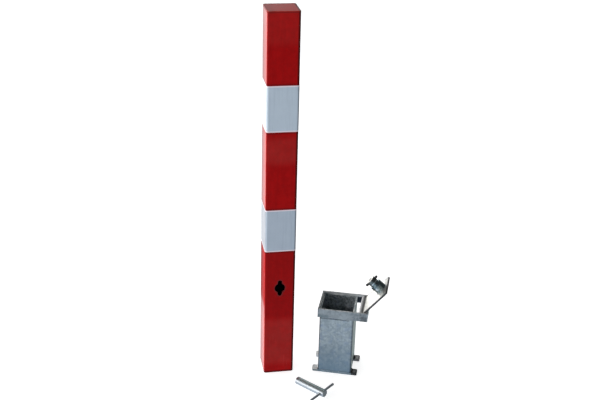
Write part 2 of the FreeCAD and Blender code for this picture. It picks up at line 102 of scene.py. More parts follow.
class Term:
    """One value in a shader, with Python's operators for its maths."""

    __add__, __radd__ = operator("ADD"), operator("ADD", reflected=True)
    __sub__, __rsub__ = operator("SUBTRACT"), operator("SUBTRACT", reflected=True)
    __mul__, __rmul__ = operator("MULTIPLY"), operator("MULTIPLY", reflected=True)
    __pow__, __abs__, wave = operator("POWER"), operator("ABSOLUTE"), operator("SINE")
    most, least = operator("MAXIMUM"), operator("MINIMUM")

    def __init__(self, recipe: "Recipe", socket: bpy.types.NodeSocket) -> None:
        """Keeps the recipe that the value belongs to, and its socket."""
        self.recipe = recipe
        self.socket = socket

    def step(self, low: float, high: float) -> "Term":
        """Smooth rise from 0 at low to 1 at high, or a fall where high is the smaller.

        Args:
            low: Value at which the result is 0.
            high: Value at which the result is 1.

        Returns:
            The eased share, from 0 to 1.
        """
        rises = low <= high
        start, stop = (low, high) if rises else (high, low)
        values = {0: self, 1: start, 2: stop, 3: float(not rises), 4: float(rises)}
        return self.recipe.node("MapRange", {"interpolation_type": "SMOOTHSTEP"}, values)

    def noise(self, scale: float, detail: float = 3.0, rough: float = 0.5) -> "Term":
        """Cloudy value from 0 to 1 at this place, with scale in features a metre."""
        values = {"Vector": self, "Scale": scale, "Detail": detail, "Roughness": rough}
        return self.recipe.node("TexNoise", values=values, output="Fac")

    def vector(self, operation: str, other: "Term | Triple", output: str = "Vector") -> "Term":
        """Vector maths with another place, direction or triple."""
        return self.recipe.node("VectorMath", {"operation": operation}, {0: self, 1: other}, output)

    def stretched(self, *scale: float) -> "Term":
        """This place multiplied by a factor along each axis, for drawn-out patterns."""
        return self.vector("MULTIPLY", scale)

    def axes(self) -> tuple["Term", ...]:
        """The three coordinates of this place, or the three parts of this colour."""
        split = self.recipe.node("SeparateXYZ", values={0: self})
        return tuple(Term(self.recipe, output) for output in split.socket.node.outputs)

    def bumped(self, depth: float, strength: float) -> "Term":
        """Normal of a surface with this relief, depth in metres."""
        return self.recipe.node("Bump", values={"Height": self, "Distance": depth, "Strength": strength})


class Recipe:
    """A node tree that is being written."""

    def __init__(self, owner: bpy.types.Material | bpy.types.World) -> None:
        """Turns the owner's nodes on and clears them.

        Args:
            owner: The material or world whose nodes are written.
        """
        owner.use_nodes = True
        self.tree = owner.node_tree
        self.tree.nodes.clear()

    def node(
        self,
        kind: str,
        settings: dict[str, Any] | None = None,
        values: dict[int | str, Any] | None = None,
        output: int | str = 0,
    ) -> Term:
        """Adds a node of any kind.

        Args:
            kind: The node's type, without the words ShaderNode.
            settings: Its properties, which are set first.
            values: Its inputs by name or number, each a value or a Term.
            output: The output that the result stands for.

        Returns:
            The chosen output as a Term.
        """
        made = self.tree.nodes.new("ShaderNode" + kind)
        for name, value in (settings or {}).items():
            setattr(made, name, value)
        for name, value in (values or {}).items():
            if isinstance(value, Term):
                self.tree.links.new(value.socket, made.inputs[name])
            else:
                made.inputs[name].default_value = value
        return Term(self, made.outputs[output] if made.outputs else made.inputs[0])

    def layered(self, base: Any, *layers: tuple[Term | float, Any]) -> Any:
        """Lays colours over a base, one after the other.

        Args:
            base: A colour or a Term.
            layers: Each layer's share, from 0 to 1, and its colour.

        Returns:
            The colour on top.
        """
        for share, colour in layers:
            ends = [(*c, 1.0) if isinstance(c, tuple) else c for c in (base, colour)]
            base = self.node("Mix", {"data_type": "RGBA"}, {0: share, 6: ends[0], 7: ends[1]}, output=2)
        return base

    def edge_mask(self, radius: float) -> Term:
        """How near a surface point is to an outer or inner edge.

        Args:
            radius: How far from the edge it begins, in metres.

        Returns:
            The share: 0 on open faces, up to 1 on an edge.
        """
        rounded = self.node("Bevel", {"samples": 4}, {"Radius": radius})
        flat = self.node("NewGeometry", output="Normal")
        return (1.0 - rounded.vector("DOT_PRODUCT", flat, "Value")).step(0.02, 0.28)

    def shade(self, **inputs: Any) -> None:
        """Ends a material with the main surface shader, its inputs named with underscores for spaces."""
        shader = self.node("BsdfPrincipled", values={name.replace("_", " "): inputs[name] for name in inputs})
        self.node("OutputMaterial", values={"Surface": shader})


@dataclass(frozen=True)
class Stance:
    """Where a pattern's own axes stand in the part."""

    centre: Triple = (0.0, 0.0, 0.0)
    turn: Triple = (0.0, 0.0, 0.0)

    def place(self, recipe: Recipe) -> Term:
        """Finds the surface point along the pattern's own axes.

        Args:
            recipe: The material's nodes.

        Returns:
            The point, in metres.
        """
        point = recipe.node("TexCoord", output="Object")
        values = {"Vector": point, "Location": self.centre, "Rotation": tuple(map(math.radians, self.turn))}
        return recipe.node("Mapping", {"vector_type": "TEXTURE"}, values)


# Finishes


@dataclass(frozen=True)
class Finish:
    """A surface that can be written as a material."""

    name: str
    stance: Stance = Stance()

    def write(self, recipe: Recipe) -> None:
        """Writes the material's nodes. Each kind of finish has its own."""
        raise NotImplementedError

    def material(self) -> bpy.types.Material:
        """Makes the finish's material.

        Returns:
            A new Blender material.
        """
        made = bpy.data.materials.new(self.name)
        self.write(Recipe(made))
        return made


@dataclass(frozen=True)
class Patch:
    """A level band up a post: the height of its middle, half its height, its strength and its soft border."""

    middle: float
    half: float
    share: float
    soft: float = 0.022

    def mask(self, height: Term) -> Term:
        """How much of the patch lies at a height."""
        return abs(height - self.middle).step(self.half, self.half - self.soft) * self.share


@dataclass(frozen=True)
class PowderCoat(Finish):
    """Glossy red paint with a slight orange peel: paler patches, scores near the foot, bare steel inside,
    painted shade.

    Pairs of limits give where a mask starts and where it is full, in metres from the post's middle or its foot.
    """

    deep: Colour = (0.5, 0.0006, 0.0008)
    bright: Colour = (0.62, 0.002, 0.0022)
    chalk: Colour = (0.82, 0.2, 0.16)
    shadow: Colour = (0.12, 0.004, 0.004)
    bare: Colour = (0.02, 0.018, 0.016)
    hole_soil: Colour = (0.13, 0.06, 0.065)
    top_dust_and_sheen: Colour = (0.5, 0.155, 0.115)
    patches: tuple[Patch, ...] = (Patch(0.085, 0.071, 0.12), Patch(0.566, 0.04, 0.1), Patch(0.85, 0.06, 0.05))
    shaded: Patch = Patch(0.24, 0.098, 0.16, 0.02)
    dulled: Patch = Patch(0.255, 0.085, 0.35, 0.025)
    rubbed: Limits = (0.19, 0.06)
    foot_line: Limits = (0.0056, 0.0034)
    front: Limits = (-0.0288, -0.0312)
    left_shade: Limits = (-0.028, 0.03)
    dust_and_sheen: float = 0.0
    seam: float = 0.866
    top: float = 0.87
    half: float = 0.035
    wall: float = 0.003
    lock_height: float = 0.2293
    lock_hole: float = 0.012
    slot_rise: float = 0.015
    slot_half: float = 0.005
    band_edges: tuple[float, ...] = ()

    def write(self, recipe: Recipe) -> None:
        """Writes cloudy red, the top's dirt with a painted sheen, worn edges, scores low down, painted shade,
        dark lines beside the bands and orange peel.

        Args:
            recipe: The material's nodes.
        """
        where = self.stance.place(recipe)
        x, y, z = where.axes()
        cloud = where.noise(14.0, 4.0, 0.6)
        streak = where.stretched(1.0, 1.0, 0.1).noise(150.0, 3.0, 0.6)
        blotch = where.noise(85.0, 3.0, 0.6)
        tone = 0.4 * cloud + 0.35 * blotch + 0.25 * streak
        speck = where.noise(620.0, 2.0).step(0.62, 0.8)
        patchy = where.noise(34.0, 3.0, 0.6).step(0.15, 0.75)
        worn = recipe.edge_mask(0.0016) * where.noise(160.0, 3.0).step(0.35, 0.75)
        scored = where.stretched(1.0, 1.0, 0.02).noise(900.0, 2.0, 0.6).step(0.6, 0.72)
        rub = scored * (z.step(*self.rubbed) * where.noise(22.0, 2.0).step(0.42, 0.62))
        left = x.step(-self.half + 0.0022, -self.half + 0.0008)
        bore = self.half - self.wall
        inside = abs(x).most(abs(y)).step(bore + 0.0005, bore + 0.0001)
        inside = inside * z.step(self.seam - 0.0001, self.seam - 0.0006)
        top_dust_sheen_and_shade: tuple[tuple[Term, Colour], ...] = ()
        # On the top plate: dirt whose colour also stands for a painted sheen, and painted shade on the plate's
        # sides
        if self.dust_and_sheen:
            settled = where.noise(55.0, 4.0, 0.65).step(0.2, 0.8)
            settled = settled * z.step(self.top - 0.0022, self.top - 0.0008)
            below = z.step(self.top - 0.001, self.top - 0.0018)
            top_dust_sheen_and_shade = (self.dust_and_sheen * (0.25 + 0.85 * settled), self.top_dust_and_sheen), (below * 0.45, self.shadow)
        colour = recipe.layered(
            self.deep,
            (tone.step(0.38, 0.62), self.bright),
            (speck * 0.06, self.chalk),
            *((patch.mask(z) * (0.55 + 0.45 * patchy), self.chalk) for patch in self.patches),
            (worn * 0.2, self.chalk),
            (self.hole_rim(x, z) * y.step(*self.front) * 0.45, self.hole_soil),
            (rub * 0.3, self.chalk),
            *top_dust_sheen_and_shade,
            # Painted shade on the left face, darker towards its back
            (left * y.step(*self.left_shade) * 0.74, self.shadow),
            # Painted shade on the post's front corners and on the plate's far edges
            (self.shaded_corners(x, y) * 0.88, self.shadow),
            (self.shaded.mask(z), self.shadow),
            # Painted shade along the post's foot
            (z.step(*self.foot_line) * 0.84, self.shadow),
            *((abs(z - height).step(0.0032, 0.0012) * 0.45, self.shadow) for height in self.band_edges),
            (inside, self.bare),
        )
        seam = abs(z - self.seam).step(0.0016, 0.0002)
        peel = where.noise(520.0, 1.5, 0.4) + 0.6 * where.noise(190.0, 1.0)
        dull = 0.22 * rub + 0.15 * worn + 0.75 * self.dust_and_sheen + 0.25 * inside + left * self.dulled.mask(z)
        recipe.shade(
            Base_Color=colour,
            Roughness=0.25 + 0.1 * cloud + dull,
            Normal=(peel - 2.2 * seam - 0.5 * rub).bumped(0.00006, 0.55),
            Specular_IOR_Level=0.09,
        )

    def hole_rim(self, x: Term, z: Term) -> Term:
        """A narrow rubbed border round the keyhole: round middle with a slot above and below.

        Args:
            x: The place across the front.
            z: Its height.

        Returns:
            How much of the border lies there.
        """
        rise = abs(z - self.lock_height)
        outside_round = (x * x + rise * rise) ** 0.5 - self.lock_hole
        past = (rise - self.slot_rise).most(0.0)
        outside_slot = (x * x + past * past) ** 0.5 - self.slot_half
        return outside_round.least(outside_slot).step(0.003, 0.0012)

    def shaded_corners(self, x: Term, y: Term) -> Term:
        """Painted shade on the post's front corners, darkest on the right, and on the plate's far edges and
        left part.

        Args:
            x: The place across the front.
            y: The place from front to back.

        Returns:
            How dark it is there.
        """
        if self.dust_and_sheen:
            far = x.most(y).step(self.half - 0.0056, self.half - 0.003)
            return far.most(0.3 * x.step(-0.012, -0.034))
        right = x.step(self.half - 0.0068, self.half - 0.0038)
        face = -self.half
        left = x.step(face + 0.0048, face + 0.0026) * x.step(face + 0.0006, face + 0.0016)
        return y.step(*self.front) * right.most(0.62 * left)


@dataclass(frozen=True)
class ReflectiveFilm(Finish):
    """White reflective sheet: faint seal diamonds, a painted highlight that glows on its edges, painted corner
    shade, a darker left face, soil at its ends.
    """

    white: Colour = (0.8, 0.87, 0.94)
    shade: Colour = (0.66, 0.73, 0.8)
    rim_highlight: Colour = (0.97, 0.86, 0.87)
    rim_glow: Colour = (0.19, 0.11, 0.12)
    left_dark_tone: Colour = (0.13, 0.085, 0.055)
    corner_shade: Colour = (0.3, 0.32, 0.34)
    end_dirt: Colour = (0.5, 0.32, 0.3)
    front: Limits = (-0.0288, -0.0312)
    base: float = 0.324
    height: float = 0.103
    half: float = 0.0353
    diamond: float = 0.0075
    left_dulling: float = 0.1

    def write(self, recipe: Recipe) -> None:
        """Writes the diamonds, a fine beaded grain, faint upright rubbing, painted bright rims that glow, and
        edge soil.

        Args:
            recipe: The material's nodes.
        """
        where = self.stance.place(recipe)
        x, y, z = where.axes()
        pitch = math.pi / self.diamond
        rising = abs(((x + y + z) * pitch).wave())
        falling = abs(((x + y - z) * pitch).wave())
        seal = rising.least(falling).step(0.16, 0.03)
        cloud = where.noise(38.0, 4.0, 0.6)
        grain = where.noise(2400.0, 1.0)
        rubbed = where.stretched(1.0, 1.0, 0.06).noise(210.0, 3.0, 0.6)
        left = x.step(-self.half + 0.0016, -self.half + 0.0006)
        corner = x.step(self.half - 0.0042, self.half - 0.002) * y.step(*self.front)
        end = self.height / 2
        off_middle = abs(z - (self.base + end))
        rim = off_middle.step(end - 0.0034, end - 0.0022)
        last = off_middle.step(end - 0.0009, end - 0.0002)
        soil = last * where.noise(120.0, 3.0).step(0.25, 0.75)
        colour = recipe.layered(
            self.white,
            (cloud.step(0.35, 0.75) * 0.25, self.shade),
            (rubbed.step(0.42, 0.72) * 0.45, self.shade),
            (seal * 0.12, self.shade),
            # The left face darker and duller
            (left * self.left_dulling, self.left_dark_tone),
            # Painted shade on the front right corner
            (corner * 0.7, self.corner_shade),
            # A painted highlight along the top and bottom edges
            (rim * 0.8, self.rim_highlight),
            (soil * 0.4, self.end_dirt),
        )
        relief = 0.35 * grain + 0.8 * (1.0 - seal) + 0.8 * where.noise(70.0, 2.0)
        recipe.shade(
            Base_Color=colour,
            Roughness=0.3 + 0.12 * grain + 0.15 * soil + left * self.left_dulling,
            Normal=relief.bumped(0.00005, 0.4),
            Coat_Weight=0.25 * (1.0 - soil) * (1.0 - 2.0 * self.left_dulling * left),
            Coat_Roughness=0.12,
            # The edges' painted highlight also glows a little
            Emission_Color=recipe.layered((0.0, 0.0, 0.0), (rim * (1.0 - last), self.rim_glow)),
            Emission_Strength=1.0,
        )


@dataclass(frozen=True)
class Deposit:
    """Soil, bare metal, painted light or painted shade in a box of the pattern's own space.

    Its sides are soft and it fades up and down. Speckle breaks it into grains, so many a metre, and matt is
    how much of the metal's shine it takes.
    """

    low: Triple
    high: Triple
    colour: Colour
    share: float
    soft: float = 0.0015
    speckle: float = 0.0
    fade: float = 0.0
    matt: float = 0.0

    def mask(self, where: Term) -> Term:
        """How much of the deposit lies at a place.

        Args:
            where: The place.

        Returns:
            The share, from 0 to 1.
        """
        share: Term | float = self.share
        for place, low, high, fade in zip(where.axes(), self.low, self.high, (0.0, 0.0, self.fade)):
            half = (high - low) / 2
            share = abs(place - (low + high) / 2).step(half + self.soft + fade, half) * share
        if self.speckle:
            share = share * where.noise(self.speckle, 2.0, 0.6).step(0.42, 0.62)
        return share


@dataclass(frozen=True)
class Sheared:
    """Dark cut edges of a plate, partly painted shade, and a dark margin on its faces that is painted shade; in
    the pattern's axes: half its width and how far it reaches along X.
    """

    half: float
    reach: float
    share: float = 0.96
    colour: Colour = (0.06, 0.058, 0.06)
    margin: float = 0.0014

    def mask(self, x: Term, y: Term) -> Term:
        """Where the cut edges are."""
        width, length = self.half - self.margin, self.reach - self.margin
        return abs(y).step(width - 0.0005, width).most(abs(x).step(length - 0.0005, length)) * self.share


@dataclass(frozen=True)
class HotDipZinc(Finish):
    """Weathered hot-dip galvanising: fine crystals, upright runs, stains, and a darker foot where asked."""

    pale: Colour = (0.495, 0.54, 0.55)
    dull: Colour = (0.335, 0.38, 0.405)
    dark: Colour = (0.155, 0.18, 0.205)
    crystal: float = 0.0055
    run: Triple = (1.0, 1.0, 0.05)
    foot: float = 0.0
    foot_colour: Colour = (0.15, 0.225, 0.29)
    foot_limits: Limits = (0.105, 0.005)
    cast: float = 0.0
    cast_colour: Colour = (0.24, 0.31, 0.47)
    metal: float = 0.8
    rough: float = 0.4
    edge: float = 0.35
    edge_colour: Colour = (0.56, 0.6, 0.61)
    sheared: Sheared | None = None
    deposits: tuple[Deposit, ...] = ()

    def write(self, recipe: Recipe) -> None:
        """Writes crystals that differ in tone and gloss, runs, stains, edges and a grainy relief.

        Args:
            recipe: The material's nodes.
        """
        where = self.stance.place(recipe)
        x, y, z = where.axes()
        drift = recipe.node("TexNoise", values={"Vector": where, "Scale": 140.0, "Detail": 2.0}, output="Color")
        bent = where.vector("ADD", drift.stretched(0.004, 0.004, 0.004))
        grid = {"Vector": bent, "Scale": 1 / self.crystal}
        tone, gloss, _ = recipe.node("TexVoronoi", values=grid, output="Color").axes()
        large = where.noise(22.0, 3.0, 0.5)
        small = where.noise(130.0, 4.0, 0.6)
        runs = where.stretched(*self.run).noise(240.0, 3.0, 0.6)
        fine = where.noise(900.0, 2.0)
        mottle = 0.38 * small + 0.22 * large + 0.2 * tone + 0.2 * fine
        stain = small.step(0.56, 0.72) * large.step(0.42, 0.6)
        colour = recipe.layered(
            self.dull,
            (mottle.step(0.36, 0.64), self.pale),
            (runs.step(0.48, 0.8) * 0.34, self.dark),
            (stain * 0.28, self.dark),
        )
        if self.cast:
            clouds = where.noise(75.0, 2.0).step(0.48, 0.7)
            colour = recipe.layered(colour, (clouds * self.cast, self.cast_colour))
        if self.foot:
            low = (z + 0.05 * (large - 0.5)).step(*self.foot_limits)
            colour = recipe.layered(colour, (low * self.foot, self.foot_colour))
        edge = recipe.edge_mask(0.0011)
        colour = recipe.layered(colour, (edge * self.edge * fine.step(0.1, 0.5), self.edge_colour))
        metal = self.metal - 0.3 * stain
        if self.sheared:
            cut = self.sheared.mask(x, y)
            colour = recipe.layered(colour, (cut, self.sheared.colour))
            metal = metal * (1.0 - 0.7 * cut)
        for deposit in self.deposits:
            share = deposit.mask(where)
            colour = recipe.layered(colour, (share, deposit.colour))
            if deposit.matt:
                metal = metal * (1.0 - deposit.matt * share)
        relief = 0.9 * fine + 1.2 * runs + 0.9 * small + 0.3 * tone
        recipe.shade(
            Base_Color=colour,
            Metallic=metal,
            Roughness=self.rough + 0.12 * gloss + 0.14 * stain - 0.06 * edge,
            Normal=relief.bumped(0.00014, 0.5),
        )


@dataclass(frozen=True)
class BrightZinc(Finish):
    """Turned steel with bright zinc plating: fine rings along the pattern's X axis, a few handling marks."""

    bright: Colour = (0.64, 0.67, 0.7)
    dull: Colour = (0.46, 0.48, 0.51)
    ring_pitch: float = 0.0006
    gloss: float = 0.14
    metal: float = 1.0
    deposits: tuple[Deposit, ...] = ()

    def write(self, recipe: Recipe) -> None:
        """Writes turning rings, cloudy passivation, scratches and bright edges.

        Args:
            recipe: The material's nodes.
        """
        where = self.stance.place(recipe)
        x, _, _ = where.axes()
        cloud = where.noise(85.0, 4.0, 0.6)
        wobble = where.noise(240.0, 2.0)
        rings = (x * (2 * math.pi / self.ring_pitch) + wobble * 9.0).wave()
        scratch = where.stretched(0.1, 1.0, 1.0).noise(1500.0, 2.0, 0.6).step(0.66, 0.74)
        colour = recipe.layered(
            self.bright,
            (cloud.step(0.4, 0.75) * 0.6, self.dull),
            (scratch * 0.35, self.dull),
            (recipe.edge_mask(0.0007) * 0.4, self.bright),
            *((deposit.mask(where), deposit.colour) for deposit in self.deposits),
        )
        recipe.shade(
            Base_Color=colour,
            Metallic=self.metal,
            Roughness=self.gloss + 0.12 * cloud + 0.14 * scratch,
            Normal=(0.5 * rings + 0.8 * wobble - 0.5 * scratch).bumped(0.00002, 0.45),
        )


@dataclass(frozen=True)
class OiledSteel(Finish):
    """Dark oiled steel, brighter on its edges and where it is handled, with a bare end where one is given."""

    dark: Colour = (0.03, 0.031, 0.034)
    worn: Colour = (0.3, 0.3, 0.3)
    bare: Colour = (0.7, 0.71, 0.72)
    bare_end: float | None = None

    def write(self, recipe: Recipe) -> None:
        """Writes a patchy oil film, rub marks, bright edges and a bare end face where there is one.

        Args:
            recipe: The material's nodes.
        """
        where = self.stance.place(recipe)
        x, _, _ = where.axes()
        cloud = where.noise(210.0, 4.0, 0.65)
        fine = where.noise(1400.0, 2.0)
        colour = recipe.layered(
            self.dark, (cloud.step(0.55, 0.85) * 0.35, self.worn), (recipe.edge_mask(0.0006) * 0.25, self.worn)
        )
        if self.bare_end is not None:
            colour = recipe.layered(colour, (x.step(self.bare_end + 0.0008, self.bare_end + 0.0003), self.bare))
        recipe.shade(
            Base_Color=colour,
            Metallic=0.9,
            Roughness=0.28 + 0.22 * cloud,
            Normal=(fine + 0.6 * cloud).bumped(0.00003, 0.5),
        )


@dataclass(frozen=True)
class WeldMetal(Finish):
    """Galvanised weld bead: duller and more mottled than the plate beside it."""

    pale: Colour = (0.52, 0.55, 0.56)
    dark: Colour = (0.22, 0.235, 0.245)

    def write(self, recipe: Recipe) -> None:
        """Writes zinc that lies thick in the bead's ripples.

        Args:
            recipe: The material's nodes.
        """
        cloud = self.stance.place(recipe).noise(320.0, 3.0, 0.6)
        recipe.shade(
            Base_Color=recipe.layered(self.dark, (cloud.step(0.3, 0.7), self.pale)),
            Metallic=0.8,
            Roughness=0.42 + 0.2 * cloud,
            Normal=cloud.bumped(0.00015, 0.5),
        )


# Mesh making


@dataclass
class Bead:
    """A rippled weld bead that is laid along a line."""

    radius: float = 0.0024
    ripple: float = 0.0016
    sides: int = 10
    rough: float = 0.09
    end: BeadEnd = BeadEnd.TAPERED

    def lay(
        self, bm: bmesh.types.BMesh, path: Callable[[float], Vector], length: float, draws: random.Random
    ) -> None:
        """Lays the bead by extruding a small disc along the path.

        Args:
            bm: The mesh that the bead is added to.
            path: Gives the bead's middle line for a share from 0 to 1.
            length: The path's length in metres.
            draws: The source of its unevenness.
        """
        steps = max(8, round(2 * length / self.ripple))
        where = path(0.0)
        aim = (path(1.0 / steps) - where).normalized()
        turn = aim.to_track_quat("Z", "Y").to_matrix().to_4x4()
        disc = bmesh.ops.create_circle(
            bm, cap_ends=True, segments=self.sides, radius=self.radius, matrix=Matrix.Translation(where) @ turn
        )
        face = disc["verts"][0].link_faces[0]
        width = 1.0
        for i in range(1, steps + 1):
            share = i / steps
            following = path(share)
            heading = (path(min(1.0, share + 1 / steps)) - path(share - 1 / steps)).normalized()
            grown = bmesh.ops.extrude_face_region(bm, geom=[face])["geom"]
            verts = [g for g in grown if isinstance(g, bmesh.types.BMVert)]
            bmesh.ops.delete(bm, geom=[face], context="FACES_ONLY")
            face = next(g for g in grown if isinstance(g, bmesh.types.BMFace))
            bmesh.ops.translate(bm, vec=following - where, verts=verts)
            swing = aim.rotation_difference(heading).to_matrix()
            bmesh.ops.rotate(bm, cent=following, matrix=swing, verts=verts)
            wanted = (1.0 if i % 2 else 1.0 - self.rough * 1.6) + draws.uniform(-1, 1) * self.rough * 0.5
            if self.end is BeadEnd.TAPERED:
                wanted *= min(1.0, 0.45 + 5.0 * min(share, 1.0 - share))
            size = wanted / width
            bmesh.ops.scale(bm, vec=(size, size, size), space=Matrix.Translation(-following), verts=verts)
            where, aim, width = following, heading, wanted

    def piece(
        self, name: str, runs: Iterable[Run], look: bpy.types.Material, draws: random.Random,
        body: Body = Body.GROUND,
    ) -> None:
        """Makes a galvanised piece of straight beads.

        Args:
            name: The piece's name.
            runs: The two ends of each bead.
            look: Its material.
            draws: The source of its unevenness.
            body: The body that it moves with.
        """
        bm = bmesh.new()
        for start, stop in runs:
            self.lay(bm, straight(start, stop), math.dist(start, stop), draws)
        finished(name, bm, look, body)


def straight(start: Triple, stop: Triple) -> Callable[[float], Vector]:
    """A path from one point to another."""
    first, last = Vector(start), Vector(stop)
    return lambda share: first.lerp(last, share)


def finished(name: str, bm: bmesh.types.BMesh, look: bpy.types.Material, body: Body) -> None:
    """Turns a built mesh into a piece of the part.

    Args:
        name: The piece's name.
        bm: Its mesh, which is freed.
        look: Its material.
        body: The body that it moves with.
    """
    bmesh.ops.recalc_face_normals(bm, faces=bm.faces)
    mesh = bpy.data.meshes.new(name)
    bm.to_mesh(mesh)
    bm.free()
    mesh.shade_smooth()
    mesh.materials.append(look)
    piece = bpy.data.objects.new(name, mesh)
    bpy.context.scene.collection.objects.link(piece)
    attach(piece, body.value)
    LOG.info("%s: %d faces on %s", name, len(mesh.polygons), body.value)


def dress(finish: Finish, *nodes: str) -> None:
    """Gives CAD nodes a finish.

    Args:
        finish: What they are dressed in.
        nodes: Their names.
    """
    look = finish.material()
    for name in nodes:
        holder = frame["nodes"][name]
        holder.data.materials.clear()
        holder.data.materials.append(look)
        LOG.info("%s: %s", name, look.name)


# The part


@dataclass
class Post:
    """The square post with its top plate and white bands."""

    centre: Triple = (-0.1425, -0.028, 0.0)
    turn: float = 19.5
    length: float = 0.87
    plate: float = 0.004
    band_height: float = 0.103
    band_bases: tuple[float, float] = (0.324, 0.61)
    line_gap: float = 0.0022

    def build(self) -> None:
        """Dresses the tube, the plate and both bands."""
        stance = Stance(self.centre, (0.0, 0.0, self.turn))
        seam = self.length - self.plate
        sides = (-self.line_gap, self.band_height + self.line_gap)
        beside = tuple(base + side for base in self.band_bases for side in sides)
        dress(PowderCoat("red_powder_coat_tube", stance, seam=seam, band_edges=beside), "post_tube")
        dress(PowderCoat("red_powder_coat_plate", stance, seam=seam, dust_and_sheen=0.21), "post_top_plate")
        lower, upper = self.band_bases
        film = ReflectiveFilm("white_film_upper", stance, base=upper, height=self.band_height)
        dress(film, "white_band_upper")
        film = ReflectiveFilm(
            "white_film_lower", stance, (0.69, 0.75, 0.83), (0.57, 0.63, 0.71),
            base=lower, height=self.band_height, left_dulling=0.42,
        )
        dress(film, "white_band_lower")


